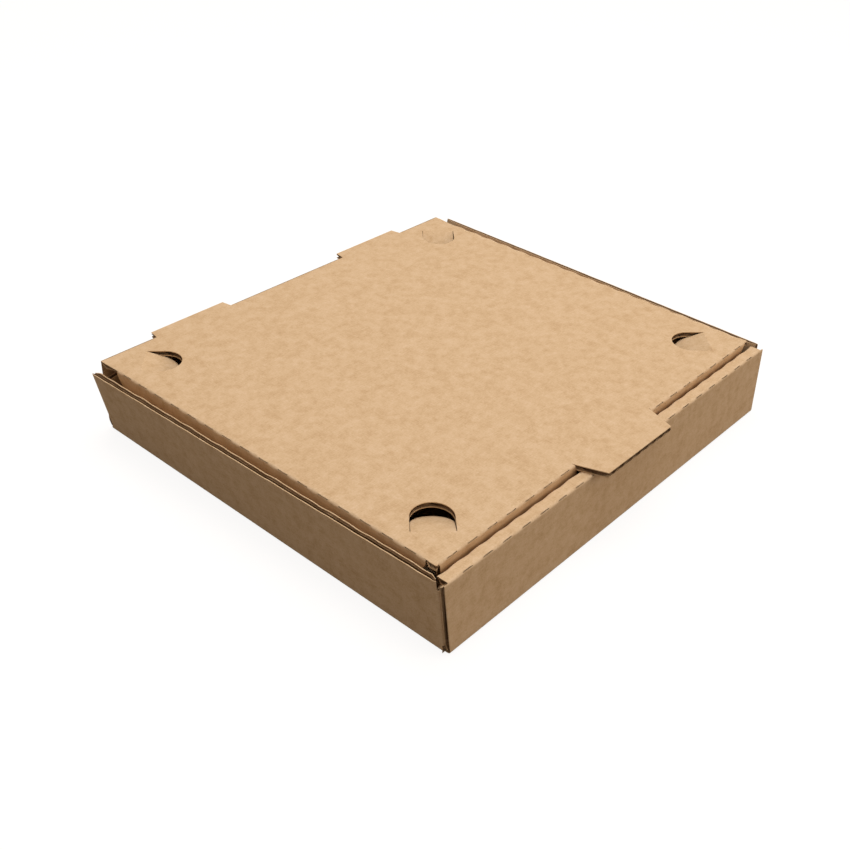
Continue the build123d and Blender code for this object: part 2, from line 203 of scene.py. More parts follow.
def flute_tree():
    """Geometry Nodes for the medium: a wavy paper sheet with its flutes along Y."""
    tree = bpy.data.node_groups.new("fluted_medium", "GeometryNodeTree")
    face = tree.interface
    sizes = ("Width", "Length", "Pitch", "Rise", "Middle", "Paper", "Skew")
    sockets = {}
    for label in sizes:
        sockets[label] = face.new_socket(label, in_out="INPUT", socket_type="NodeSocketFloat")
    sockets["Steps"] = face.new_socket("Steps", in_out="INPUT", socket_type="NodeSocketInt")
    sockets["Finish"] = face.new_socket("Finish", in_out="INPUT", socket_type="NodeSocketMaterial")
    face.new_socket("Geometry", in_out="OUTPUT", socket_type="NodeSocketGeometry")
    nodes = tree.nodes
    given = nodes.new("NodeGroupInput").outputs
    result = nodes.new("NodeGroupOutput")

    def math(operation, a, b=0.0):
        node = nodes.new("ShaderNodeMath")
        node.operation = operation
        for socket, value in zip(node.inputs, (a, b)):
            if isinstance(value, (int, float)):
                socket.default_value = value
            else:
                wire(tree, value, socket)
        return node.outputs[0]

    grid = nodes.new("GeometryNodeMeshGrid")
    wire(tree, given["Width"], grid.inputs["Size X"])
    wire(tree, given["Length"], grid.inputs["Size Y"])
    across = math("MULTIPLY", math("DIVIDE", given["Width"], given["Pitch"]), given["Steps"])
    wire(tree, math("ADD", math("ROUND", across), 1.0), grid.inputs["Vertices X"])
    grid.inputs["Vertices Y"].default_value = 2
    spot = nodes.new("ShaderNodeSeparateXYZ")
    wire(tree, nodes.new("GeometryNodeInputPosition").outputs[0], spot.inputs[0])
    drift = math("MULTIPLY", spot.outputs["Y"], given["Skew"])
    turn = math("MULTIPLY", math("DIVIDE", math("ADD", spot.outputs["X"], drift), given["Pitch"]), 2 * pi)
    wave = math("MULTIPLY", math("COSINE", turn), given["Rise"])
    up = nodes.new("ShaderNodeCombineXYZ")
    wire(tree, math("SUBTRACT", given["Middle"], wave), up.inputs["Z"])
    lift = nodes.new("GeometryNodeSetPosition")
    wire(tree, grid.outputs["Mesh"], lift.inputs["Geometry"])
    wire(tree, up.outputs[0], lift.inputs["Offset"])
    thick = nodes.new("GeometryNodeExtrudeMesh")
    thick.inputs["Individual"].default_value = False
    wire(tree, lift.outputs[0], thick.inputs["Mesh"])
    wire(tree, given["Paper"], thick.inputs["Offset Scale"])
    under = nodes.new("GeometryNodeFlipFaces")
    wire(tree, lift.outputs[0], under.inputs[0])
    both = nodes.new("GeometryNodeJoinGeometry")
    wire(tree, under.outputs[0], both.inputs[0])
    wire(tree, thick.outputs["Mesh"], both.inputs[0])
    weld = nodes.new("GeometryNodeMergeByDistance")
    wire(tree, both.outputs[0], weld.inputs[0])
    real = nodes.new("GeometryNodeRealizeInstances")
    wire(tree, weld.outputs[0], real.inputs[0])
    finish = nodes.new("GeometryNodeSetMaterial")
    wire(tree, real.outputs[0], finish.inputs["Geometry"])
    wire(tree, given["Finish"], finish.inputs["Material"])
    wire(tree, finish.outputs[0], result.inputs[0])
    return tree, {label: socket.identifier for label, socket in sockets.items()}


def score_tree():
    """Geometry Nodes for a row of short slits, used as the cutter of a cut-scored crease."""
    tree = bpy.data.node_groups.new("cut_score_row", "GeometryNodeTree")
    face = tree.interface
    sockets = {}
    for label in ("Slit", "Gap", "Depth", "Pitch"):
        sockets[label] = face.new_socket(label, in_out="INPUT", socket_type="NodeSocketFloat")
    sockets["Count"] = face.new_socket("Count", in_out="INPUT", socket_type="NodeSocketInt")
    sockets["Finish"] = face.new_socket("Finish", in_out="INPUT", socket_type="NodeSocketMaterial")
    face.new_socket("Geometry", in_out="OUTPUT", socket_type="NodeSocketGeometry")
    nodes = tree.nodes
    given = nodes.new("NodeGroupInput").outputs
    result = nodes.new("NodeGroupOutput")
    row = nodes.new("GeometryNodeMeshLine")
    wire(tree, given["Count"], row.inputs["Count"])
    step = nodes.new("ShaderNodeCombineXYZ")
    wire(tree, given["Pitch"], step.inputs["X"])
    wire(tree, step.outputs[0], row.inputs["Offset"])
    size = nodes.new("ShaderNodeCombineXYZ")
    for label, axis in (("Slit", "X"), ("Gap", "Y"), ("Depth", "Z")):
        wire(tree, given[label], size.inputs[axis])
    slit = nodes.new("GeometryNodeMeshCube")
    wire(tree, size.outputs[0], slit.inputs["Size"])
    copies = nodes.new("GeometryNodeInstanceOnPoints")
    wire(tree, row.outputs[0], copies.inputs["Points"])
    wire(tree, slit.outputs["Mesh"], copies.inputs["Instance"])
    real = nodes.new("GeometryNodeRealizeInstances")
    wire(tree, copies.outputs[0], real.inputs[0])
    finish = nodes.new("GeometryNodeSetMaterial")
    wire(tree, real.outputs[0], finish.inputs["Geometry"])
    wire(tree, given["Finish"], finish.inputs["Material"])
    wire(tree, finish.outputs[0], result.inputs[0])
    return tree, {label: socket.identifier for label, socket in sockets.items()}


FLUTES, FLUTE_SOCKETS = flute_tree()
SCORES, SCORE_SOCKETS = score_tree()


def grown(tree, sockets, values):
    """The plain mesh that a Geometry Nodes tree makes from the given sizes."""
    host = bpy.data.objects.new("host", bpy.data.meshes.new("host"))
    bpy.context.scene.collection.objects.link(host)
    modifier = host.modifiers.new("grow", "NODES")
    modifier.node_group = tree
    for label, value in values.items():
        modifier[sockets[label]] = value
    mesh = bpy.data.meshes.new_from_object(host.evaluated_get(bpy.context.evaluated_depsgraph_get()))
    bpy.data.objects.remove(host)
    return mesh


def slab(lower, upper, low, high):
    """A flat layer with an outline at its outer side and one at its inner side, in millimetres."""
    mesh = bpy.data.meshes.new("slab")
    count = len(lower)
    points = [(*p, low) for p in lower] + [(*p, high) for p in upper]
    faces = [list(range(count))[::-1], [count + i for i in range(count)]]
    faces += [[i, (i + 1) % count, count + (i + 1) % count, count + i] for i in range(count)]
    mesh.from_pydata(points, [], faces)
    mesh.validate()
    return mesh


def cut(mesh, tool, operation="DIFFERENCE"):
    """One layer cut by a die, or kept inside it."""
    body = bpy.data.objects.new("body", mesh)
    die = bpy.data.objects.new("die", tool)
    for thing in (body, die):
        bpy.context.scene.collection.objects.link(thing)
    modifier = body.modifiers.new("cut", "BOOLEAN")
    modifier.object = die
    modifier.operation = operation
    modifier.solver = "MANIFOLD"
    result = bpy.data.meshes.new_from_object(body.evaluated_get(bpy.context.evaluated_depsgraph_get()))
    bpy.data.objects.remove(body)
    bpy.data.objects.remove(die)
    return result


SCORE_PITCH = 13.0
SCORE_SLIT = 6.3
SCORE_GAP = 0.55
CROSS_STEP = SCORE_PITCH / 6

# A crease runs from start to end with what folds over on its right. turn is the fold's angle, or a
# function of the place along Y; soft is the mean radius outside, and wave its swing between slits.
Crease = namedtuple("Crease", "start end turn soft wave slits holds margin")


def crease_axes(crease):
    start, end = np.array(crease.start, float), np.array(crease.end, float)
    length = np.linalg.norm(end - start)
    along = (end - start) / length
    return start, along, np.array((along[1], -along[0])), length


def slit_places(crease):
    """Middles of the slits, as distances along the crease."""
    length = crease_axes(crease)[3]
    count = int(length // SCORE_PITCH)
    return [length / 2 + (i - (count - 1) / 2) * SCORE_PITCH for i in range(count)]


def crease_radius(crease, run):
    """Outside radius along a crease: tight at a slit, soft between two."""
    return crease.soft - crease.wave * np.cos(2 * pi * (run - slit_places(crease)[0]) / SCORE_PITCH)


def slit_mesh(crease):
    start, along, out, length = crease_axes(crease)
    places = slit_places(crease)
    values = {"Slit": SCORE_SLIT, "Gap": SCORE_GAP, "Depth": 2 * BOARD - 1.2, "Pitch": SCORE_PITCH}
    mesh = grown(SCORES, SCORE_SOCKETS, values | {"Count": len(places), "Finish": CUT_EDGE_HIGHLIGHT})
    first = start + along * places[0]
    turned = Matrix.Rotation(atan2(along[1], along[0]), 4, "Z")
    mesh.transform(Matrix.Translation((*first, 0)) @ turned)
    return mesh


def rule_line(bm, faces, point, normal):
    """Rules a line across some faces of a flat layer, and gives the faces that come of it."""
    edges = {e for f in faces for e in f.edges}
    verts = {v for f in faces for v in f.verts}
    geom = [*faces, *edges, *verts]
    made = bmesh.ops.bisect_plane(bm, geom=geom, dist=1e-4, plane_co=(*point, 0), plane_no=(*normal, 0))
    return [g for g in made["geom"] if isinstance(g, bmesh.types.BMFace)]


def face_spans(face, start, along, out):
    """Least and greatest distance of a face along a crease and out from it."""
    flat = [(v.co.x - start[0], v.co.y - start[1]) for v in face.verts]
    run = [x * along[0] + y * along[1] for x, y in flat]
    off = [x * out[0] + y * out[1] for x, y in flat]
    return min(run), max(run), min(off), max(off)


def rule_crease(bm, crease, step, reach=0.0):
    """Rules lines beside a crease for its bend and, where a step is given, lines across it."""
    start, along, out, length = crease_axes(crease)
    wide = (crease.soft + abs(crease.wave)) * 1.1
    band = wide + crease.margin
    sides = [-band, -wide - crease.margin / 2, wide + crease.margin / 2, band]
    for offset in sorted([*np.linspace(-wide, wide, 9), *sides]):
        crossed = []
        for face in bm.faces:
            low, high, near, far = face_spans(face, start, along, out)
            if high > -1 and low < length + 1 and near < offset < far:
                crossed.append(face)
        rule_line(bm, crossed, start + out * offset, out)
    if not step:
        return
    ahead = []
    for face in bm.faces:
        low, high, near, far = face_spans(face, start, along, out)
        if near > -band - 0.01 and far < band + reach + 0.01 and high > 0 and low < length:
            ahead.append(face)
    spot = slit_places(crease)[0] % step
    while spot < length:
        made = rule_line(bm, ahead, start + along * spot, along)
        ahead = [f for f in made if face_spans(f, start, along, out)[1] > spot + 0.001]
        spot += step


def fold_up(flat, creases, crush):
    """Places of a flat layer's points once its creases are folded, the outermost crease first."""
    squeeze, lift = crush(flat)
    highlight_share = np.zeros(len(flat))
    parts = []
    for crease in creases:
        start, along, out, length = crease_axes(crease)
        run = (flat[:, :2] - start) @ along
        off = (flat[:, :2] - start) @ out
        held = crease.holds(flat[:, 0], flat[:, 1])
        turn = crease.turn(flat[:, 1]) if callable(crease.turn) else np.full(len(flat), crease.turn)
        radius = crease_radius(crease, run)
        half = radius * np.tan(turn / 2)
        ease = np.clip((np.abs(off) - half) / crease.margin, 0, 1)
        ease = ease * ease * (3 - 2 * ease)
        tight = np.minimum(1, (radius - 0.2) / BOARD)
        squeeze = np.where(held, np.minimum(squeeze, tight + (1 - tight) * ease), squeeze)
        # Painted highlight: a pale band over the round of each crease, passed on to the material.
        crease_highlight = 0.45 * np.clip(1 - np.abs(off) / (half + 0.6), 0, 1)
        highlight_share = np.where(held, np.maximum(highlight_share, crease_highlight), highlight_share)
        parts.append((start, along, out, off, held, turn, radius, half))
    place = flat.copy()
    place[:, 2] = flat[:, 2] * squeeze + lift
    board = place[:, 2].copy()
    for start, along, out, off, held, turn, radius, half in parts:
        rel = place[:, :2] - start
        run_now, off_now, deep = rel @ along, rel @ out, place[:, 2].copy()
        bending = held & (np.abs(off) <= half)
        beyond = held & (off > half)
        arc = turn * (off + half) / (2 * half)
        new_off, new_deep = off_now.copy(), deep.copy()
        new_off[bending] = (-half + (radius - board) * np.sin(arc))[bending]
        new_deep[bending] = (radius - (radius - board) * np.cos(arc))[bending]
        new_off[beyond] = (off_now * np.cos(turn) - deep * np.sin(turn))[beyond]
        new_deep[beyond] = (off_now * np.sin(turn) + deep * np.cos(turn))[beyond]
        place[:, :2] = start + np.outer(run_now, along) + np.outer(new_off, out)
        place[:, 2] = new_deep
    return place, highlight_share


def board_layers(outline, size, middle):
    """The three layers of a blank, cut flat to its outline: outer liner, medium and inner liner."""
    values = {
        "Width": size[0], "Length": size[1], "Pitch": FLUTE_PITCH, "Paper": PAPER,
        "Middle": BOARD / 2 - PAPER / 2, "Rise": (BOARD - 2 * LINER - PAPER) / 2,
        "Skew": FLUTE_SKEW, "Steps": FLUTE_STEPS, "Finish": MEDIUM_AND_CAVITY_SHADE,
    }
    medium = grown(FLUTES, FLUTE_SOCKETS, values)
    medium.transform(Matrix.Translation((0, middle, 0)))
    return {
        "outer_liner": slab(outline, outline, 0, LINER),
        "medium": cut(medium, punch(outline), "INTERSECT"),
        "inner_liner": slab(outline, outline, BOARD - LINER, BOARD),
    }


def punch(outline):
    """A die of the given outline, taller than the board is thick."""
    return slab(outline, outline, -1, BOARD + 1)


def fold_board(name, layers, creases, holes, body, replaced, seat, crush, extra=None):
    """Punches, scores and folds the layers of a blank, and makes each a finished piece."""
    for layer, mesh in layers.items():
        for hole in holes:
            mesh = cut(mesh, hole.copy())
        if layer != "inner_liner":
            for crease in creases:
                if crease.slits:
                    mesh = cut(mesh, slit_mesh(crease))
        bm = bmesh.new()
        bm.from_mesh(mesh)
        bm.normal_update()
        cavity_side = {"outer_liner": 1, "inner_liner": -1}.get(layer, 0)
        for face in bm.faces:
            # Faces across the board take the second finish: a painted highlight on liner cut edges, the medium's cut
            # ends on the medium.
            face.material_index = 0 if abs(face.normal.z) > 0.6 else 1
            # Liner faces turned to the medium take the dark medium finish: painted shade in the flute cavities.
            if face.normal.z * cavity_side > 0.6:
                face.material_index = 2
            face.smooth = True
        for crease in creases:
            with_flutes = abs(crease_axes(crease)[1][1]) > 0.9
            step = CROSS_STEP if crease.wave else SCORE_PITCH
            if layer == "medium" and not with_flutes:
                step = None
            rule_crease(bm, crease, step, 60.0 if with_flutes else 0.0)
        if extra:
            extra(bm)
        flat = np.array([v.co for v in bm.verts])
        place, highlight_share = fold_up(flat, creases, crush)
        for vert, spot in zip(bm.verts, seat(flat, place)):
            vert.co = spot * MM
        bmesh.ops.triangulate(bm, faces=[f for f in bm.faces if len(f.verts) > 4])
        bmesh.ops.recalc_face_normals(bm, faces=bm.faces)
        bm.to_mesh(mesh)
        bm.free()
        mesh.materials.clear()
        mesh.materials.append(MEDIUM_AND_CAVITY_SHADE if layer == "medium" else LINER_FACE)
        mesh.materials.append(MEDIUM_CUT if layer == "medium" else CUT_EDGE_HIGHLIGHT)
        # Third finish: the dark medium finish, painted shade on the liners' faces inside the flutes.
        mesh.materials.append(MEDIUM_AND_CAVITY_SHADE)
        mesh.set_sharp_from_angle(angle=radians(38))
        # The painted crease highlight, kept as a point attribute for the material.
        highlight_attribute = mesh.attributes.new("fold_highlight", "FLOAT", "POINT")
        highlight_attribute.data.foreach_set("value", highlight_share.astype(np.float32))
        piece = bpy.data.objects.new(f"{name}_{layer}", mesh)
        bpy.context.scene.collection.objects.link(piece)
        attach(piece, body)
        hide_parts(replaced)


def mirrored(right):
    """A whole outline from its right half, which runs from the front to the back."""
    return right + [(-x, y) for x, y in reversed(right)]


# ------------------------------------------------------------------------------------------------
# Tray: floor, back wall, side walls with a dust flap at each end, and a front wall that rolls over
# into a strip and an inner panel, whose two tabs lock into slots of the floor. One folded blank.
# ------------------------------------------------------------------------------------------------
tray_low, tray_high = (np.array(corner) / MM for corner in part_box("tray"))
lid_low, lid_high = (np.array(corner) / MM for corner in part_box("lid"))
HALF = 130.0
FRONT_FOLD, BACK_FOLD = tray_low[1], tray_high[1]
FRONT_HEIGHT, SIDE_HEIGHT, HINGE_Z = 39.3, 40.0, lid_high[2]
FRONT_LEAN, BACK_LEAN, ROLL_LEAN = 2.5, 2.3, 3.4
SIDE_LEANS = (3.0, 8.8)
GAP = 0.2
FOOT = BOARD + GAP
STRIP = 2 * BOARD + 0.6
ROLL_DROP = FRONT_HEIGHT - FOOT
ROLL_HALF, STRIP_HALF, WALL_HALF = HALF - 4.0, HALF - 0.7, HALF - 1.3
DUST = 55.0
LOCK_X, LOCK_HALF, LOCK_DROP = 65.0, 18.0, 2.6
NOTCH = (43.5, 95.5, 7.5)

hinge_y = BACK_FOLD - BACK_LEAN
strip_fold = FRONT_FOLD - hypot(FRONT_LEAN, FRONT_HEIGHT)
roll_fold = strip_fold - STRIP
roll_end = roll_fold - hypot(ROLL_LEAN, ROLL_DROP)
hinge_flat = BACK_FOLD + hypot(BACK_LEAN, HINGE_Z)
wall_front, wall_back = FRONT_FOLD + FOOT, BACK_FOLD - FOOT
side_front, side_back = (hypot(lean, SIDE_HEIGHT) for lean in SIDE_LEANS)


def dust_line(end, rise):
    """Flat place of the crease between a side wall and its dust flap, at a height."""
    if end < 0:
        return wall_front + FRONT_LEAN * rise / FRONT_HEIGHT
    return wall_back - BACK_LEAN * rise / HINGE_Z


tray_outline = mirrored([
    (LOCK_X - LOCK_HALF, roll_end),
    (LOCK_X - LOCK_HALF, roll_end - LOCK_DROP),
    (LOCK_X + LOCK_HALF, roll_end - LOCK_DROP),
    (LOCK_X + LOCK_HALF, roll_end),
    (ROLL_HALF, roll_end),
    (ROLL_HALF, roll_fold),
    (STRIP_HALF, roll_fold),
    (STRIP_HALF, strip_fold),
    (WALL_HALF + SIDE_LEANS[0], strip_fold),
    (WALL_HALF, FRONT_FOLD),
    (WALL_HALF, wall_front),
    (HALF, wall_front),
    (HALF + FOOT, dust_line(-1, FOOT)),
    (HALF + FOOT, dust_line(-1, FOOT) - DUST),
    (HALF + 20.5, dust_line(-1, 20.5) - DUST),
    (HALF + 35.0, dust_line(-1, 35.0)),
    (HALF + side_front, dust_line(-1, SIDE_HEIGHT)),
    (HALF + side_back, dust_line(1, SIDE_HEIGHT)),
    (HALF + 33.0, dust_line(1, 33.0)),
    (HALF + 33.0, dust_line(1, 33.0) + DUST - 12.0),
    (HALF + 21.0, dust_line(1, 21.0) + DUST),
    (HALF + FOOT, dust_line(1, FOOT) + DUST),
    (HALF + FOOT, dust_line(1, FOOT)),
    (HALF, wall_back),
    (WALL_HALF, wall_back),
    (WALL_HALF, BACK_FOLD),
    (WALL_HALF, hinge_flat),
    (NOTCH[1], hinge_flat),
    (NOTCH[1], hinge_flat - NOTCH[2]),
    (NOTCH[0], hinge_flat - NOTCH[2]),
    (NOTCH[0], hinge_flat),
])


def side_turn(y):
    """Fold angle of a side wall, which springs open towards the back."""
    share = (np.clip(y, wall_front, wall_back) - FRONT_FOLD) / (BACK_FOLD - FRONT_FOLD)
    return np.arctan2(SIDE_HEIGHT, SIDE_LEANS[0] + (SIDE_LEANS[1] - SIDE_LEANS[0]) * share)


def front_run(x, y):
    return (y < FRONT_FOLD + 9) & (np.abs(x) < HALF + 2.3)


def back_run(x, y):
    return (y > BACK_FOLD - 9) & (np.abs(x) < HALF + 2.3)


def side_run(side):
    def holds(x, y):
        return (side * x > HALF - 8) & ((np.abs(y) < wall_back + 0.05) | dust_run(side, 1)(x, y) | dust_run(side, -1)(x, y))
    return holds


def dust_run(side, end):
    """A dust flap, in the flat, and the part of the side wall next to it."""
    return lambda x, y: (side * x > HALF + FOOT - 0.1) & (end * y > 100) & ~back_run(x, y)


front_turn = pi / 2 + atan2(FRONT_LEAN, FRONT_HEIGHT)
strip_turn = pi / 2 - atan2(FRONT_LEAN, FRONT_HEIGHT)
roll_turn = pi / 2 - atan2(ROLL_LEAN, ROLL_DROP)
back_turn = pi / 2 + atan2(BACK_LEAN, HINGE_Z)


def crosswise(half, y, outward):
    """Ends of a crease across the blank, with what folds over on its right."""
    return ((-half, y), (half, y)) if outward < 0 else ((half, y), (-half, y))


tray_creases = [
    Crease(*crosswise(STRIP_HALF, roll_fold, -1), roll_turn, 1.7, 0.6, False, front_run, 1.6),
    Crease(*crosswise(WALL_HALF, strip_fold, -1), strip_turn, 1.3, 0.25, True, front_run, 1.6),
    Crease(*crosswise(WALL_HALF, FRONT_FOLD, -1), front_turn, 1.8, 0.0, False, front_run, 3.0),
    Crease(*crosswise(WALL_HALF, BACK_FOLD, 1), back_turn, 1.8, 0.0, False, back_run, 3.0),
]
for side in (-1, 1):
    for end, length in ((-1, side_front), (1, side_back)):
        foot = (side * HALF, dust_line(end, 0))
        top = (side * (HALF + length), dust_line(end, SIDE_HEIGHT))
        ends = (foot, top) if side * end < 0 else (top, foot)
        tray_creases.append(Crease(*ends, radians(90), 1.8, 0.0, False, dust_run(side, end), 3.0))
for side in (-1, 1):
    ends = ((side * HALF, -side * wall_back), (side * HALF, side * wall_back))
    tray_creases.append(Crease(*ends, side_turn, 1.8, 0.0, False, side_run(side), 3.0))


def ease_out(distance, length):
    """One at an edge, falling smoothly to nothing at a distance from it."""
    share = np.clip(1 - distance / length, 0, 1)
    return share * share * (3 - 2 * share)


def ripple(run, seed):
    """Small irregular wave of a cut liner edge."""
    return (np.sin(run / 1.9 + seed) + np.sin(run / 3.1 + 2.3 * seed) + np.sin(run / 5.3 + seed * seed)) / 3


def crush_tray(flat):
    """Board crushed thin towards the hinge, and the ripple of the side walls' cut top edges."""
    x, y, depth = flat.T
    hinge = ease_out(hinge_flat - y, 4.0)
    squeeze = 1 - 0.86 * hinge * (np.abs(x) < 140)
    top = HALF + side_front + (side_back - side_front) * (y - wall_front) / (wall_back - wall_front)
    edge = ease_out(top - np.abs(x), 2.4) * (np.abs(y) < wall_back)
    inner = np.where(depth > BOARD / 2, 1.0, 0.35)
    return squeeze, 0.32 * edge * inner * ripple(y + 40 * np.sign(x), 1.0)


def rule_wall_tops(bm):
    """Lines near the top edges of the side walls, for their ripple."""
    for side in (-1, 1):
        foot, top = (side * (HALF + side_front), wall_front), (side * (HALF + side_back), wall_back)
        line = Crease(*((foot, top) if side > 0 else (top, foot)), 0, 0, 0, False, None, 0)
        start, along, out, length = crease_axes(line)
        for inset in (2.4, 1.2):
            crossed = []
            for face in bm.faces:
                low, high, near, far = face_spans(face, start, along, out)
                if high > 1 and low < length - 1 and near < -inset < far and far < 1:
                    crossed.append(face)
            rule_line(bm, crossed, start - out * inset, out)
        ahead = [f for f in bm.faces if face_spans(f, start, along, out)[2] > -2.41]
        ahead = [f for f in ahead if 0 < face_spans(f, start, along, out)[1]]
        spot = 1.0
        while spot < length:
            made = rule_line(bm, ahead, start + along * spot, along)
            ahead = [f for f in made if face_spans(f, start, along, out)[1] > spot + 0.001]
            spot += 1.6


def seat_tray(flat, place):
    """The folded tray as it stands, its front dust flaps slipped into the pocket of the front wall."""
    x, y, z = place.T
    for end in (-1, 1):
        flap = (np.abs(flat[:, 0]) > HALF + 2.4) & (end * flat[:, 1] > wall_back + 0.5) & ~back_run(flat[:, 0], flat[:, 1])
        beyond = end * (flat[:, 1] - dust_line(end, 0))
        share = np.clip((beyond - 2) / 8, 0, 1)
        outer = dust_line(end, z)
        room = np.full(len(z), BOARD)
        if end < 0:
            roll = roll_foot_y - BOARD - ROLL_LEAN * (z - BOARD) / (FRONT_HEIGHT - 2 * BOARD)
            room = np.clip(roll - GAP - outer, 0.5, BOARD)
        wanted = outer - end * flat[:, 2] * room / BOARD
        y = np.where(flap, y + (wanted - y) * share, y)
    spread = np.interp(z, (0, SIDE_HEIGHT, HINGE_Z), (0, SIDE_LEANS[1], HALF + 0.2 - WALL_HALF))
    outer_part = np.clip((np.abs(x) - 100) / (WALL_HALF - 100), 0, 1)
    spread = spread * outer_part * (back_run(flat[:, 0], flat[:, 1]) & (flat[:, 1] > BACK_FOLD - 2))
    x = x + np.sign(x) * spread
    return np.column_stack((x, y, z))


roll_foot_y = FRONT_FOLD + FRONT_LEAN + STRIP + ROLL_LEAN


def rectangle(x, y, wide, long):
    return [(x - wide, y - long), (x + wide, y - long), (x + wide, y + long), (x - wide, y + long)]


lock_slots = []
for side in (-1, 1):
    outline = rectangle(side * LOCK_X, roll_foot_y - BOARD / 2, LOCK_HALF + GAP, BOARD / 2 + GAP)
    lock_slots.append(punch(outline))
tray_layers = board_layers(tray_outline, (348.0, 376.0), (roll_end + hinge_flat) / 2)
fold_board(
    "tray", tray_layers, tray_creases, lock_slots, "tray", "tray", seat_tray, crush_tray, rule_wall_tops
)

# ------------------------------------------------------------------------------------------------
# Lid: the top panel with its thumb tab and two heel tabs, and the tuck flaps of its front and its
# sides. Cut-scored creases, softer between the slits, give its edges their bumps.
# ------------------------------------------------------------------------------------------------
LID_FRONT = -112.0
LID_HALVES = (127.8, 130.2)
TUCK_DROP, TUCK_LEAN = 31.0, 3.0
SIDE_DROP, SIDE_LEAN = 33.0, 1.8
FLAP_HALF, FLAP_TAPER = 125.8, 9.0
FLAP_FRONT, FLAP_BACK, SIDE_TAPER = -106.0, 106.2, 16.0
THUMB_ROOT, THUMB_TIP, THUMB_LENGTH = 31.5, 26.2, 14.5
HEEL_IN, HEEL_OUT, HEEL_LENGTH = 44.0, 95.0, 6.3
CUT = 0.3
LID_Z = HINGE_Z - 0.05


def lid_half(y):
    """Half the lid's width at its side creases."""
    share = (y - LID_FRONT) / (hinge_y - LID_FRONT)
    return LID_HALVES[0] + (LID_HALVES[1] - LID_HALVES[0]) * share


tuck_end = LID_FRONT - hypot(TUCK_LEAN, TUCK_DROP)
side_long = hypot(SIDE_LEAN, SIDE_DROP)
lid_outline = mirrored([
    (FLAP_HALF - FLAP_TAPER, tuck_end),
    (FLAP_HALF, LID_FRONT),
    (lid_half(LID_FRONT) - 0.5, LID_FRONT),
    (lid_half(LID_FRONT) - 0.15, LID_FRONT + 0.5),
    (lid_half(FLAP_FRONT) - 0.1, FLAP_FRONT),
    (lid_half(FLAP_FRONT) + BOARD, FLAP_FRONT),
    (lid_half(FLAP_FRONT) + side_long, FLAP_FRONT + SIDE_TAPER),
    (lid_half(FLAP_BACK) + side_long, FLAP_BACK - SIDE_TAPER),
    (lid_half(FLAP_BACK) + BOARD, FLAP_BACK),
    (lid_half(FLAP_BACK) - 0.1, FLAP_BACK),
    (lid_half(hinge_y), hinge_y),
    (HEEL_OUT, hinge_y),
    (HEEL_OUT - 1.0, hinge_y + HEEL_LENGTH),
    (HEEL_IN + 1.0, hinge_y + HEEL_LENGTH),
    (HEEL_IN, hinge_y),
])


def thumb_half(y):
    """Half the width of the thumb tab, which is cut out of the front tuck flap."""
    return THUMB_ROOT + (THUMB_ROOT - THUMB_TIP) * (y - LID_FRONT) / THUMB_LENGTH


def front_flap(x, y):
    off_tab = (np.abs(x) > thumb_half(y) + CUT / 2) | (y < LID_FRONT - THUMB_LENGTH - CUT / 2)
    return (y < LID_FRONT + 9) & off_tab & (np.abs(x) < FLAP_HALF + 0.05)


def side_flap(side):
    return lambda x, y: (side * x > lid_half(y) - 8) & (y > FLAP_FRONT - 0.05) & (y < FLAP_BACK + 0.05)


slit_in = LID_FRONT + 2.0
tab_tip = LID_FRONT - THUMB_LENGTH
thumb_cuts = [punch([(-THUMB_TIP - CUT, tab_tip - CUT), (THUMB_TIP + CUT, tab_tip - CUT), (THUMB_TIP, tab_tip), (-THUMB_TIP, tab_tip)])]
for side in (-1, 1):
    ends = [(thumb_half(tab_tip), tab_tip - CUT), (thumb_half(tab_tip) + CUT, tab_tip - CUT), (thumb_half(slit_in) + CUT, slit_in), (thumb_half(slit_in), slit_in)]
    ends = [(side * x, y) for x, y in ends]
    thumb_cuts.append(punch(ends if side > 0 else ends[::-1]))

tuck_turn = pi / 2 + atan2(TUCK_LEAN, TUCK_DROP)
flap_turn = pi / 2 + atan2(SIDE_LEAN, SIDE_DROP)
lid_creases = []
for side in (-1, 1):
    ends = ((side * THUMB_ROOT, LID_FRONT), (side * FLAP_HALF, LID_FRONT))
    ends = ends if side > 0 else ends[::-1]

    def half_flap(x, y, side=side):
        return front_flap(x, y) & ((x >= 0) == (side > 0))

    lid_creases.append(Crease(*ends, tuck_turn, 1.05, 0.6, True, half_flap, 2.5))
for side in (-1, 1):
    ends = ((side * lid_half(FLAP_FRONT), FLAP_FRONT), (side * lid_half(FLAP_BACK), FLAP_BACK))
    ends = ends if side > 0 else ends[::-1]
    lid_creases.append(Crease(*ends, flap_turn, 1.05, 0.6, True, side_flap(side), 2.5))


def crush_lid(flat):
    """Board crushed thin towards the hinge, except at the heel tabs."""
    x, y, depth = flat.T
    at_heel = (np.abs(x) > HEEL_IN - 0.2) & (np.abs(x) < HEEL_OUT + 0.2)
    squeeze = 1 - 0.86 * ease_out(hinge_y - y, 4.0) * ~at_heel
    return squeeze, np.zeros(len(flat))


def seat_lid(flat, place):
    return np.column_stack((place[:, 0], place[:, 1], LID_Z - place[:, 2]))


def rule_hinge(bm):
    """Lines beside the hinge, where the board is crushed."""
    for inset in (4.0, 2.6, 1.3, 0.5):
        faces = [f for f in bm.faces if face_spans(f, (0, hinge_y), (1, 0), (0, 1))[2] < -inset < face_spans(f, (0, hinge_y), (1, 0), (0, 1))[3]]
        rule_line(bm, faces, (0, hinge_y - inset), (0, 1))


VENT_WIDE, VENT_LONG, VENT_SET, VENT_DROP, VENT_MITRE = 19.5, 19.5, 15.6, 20.0, 30.0


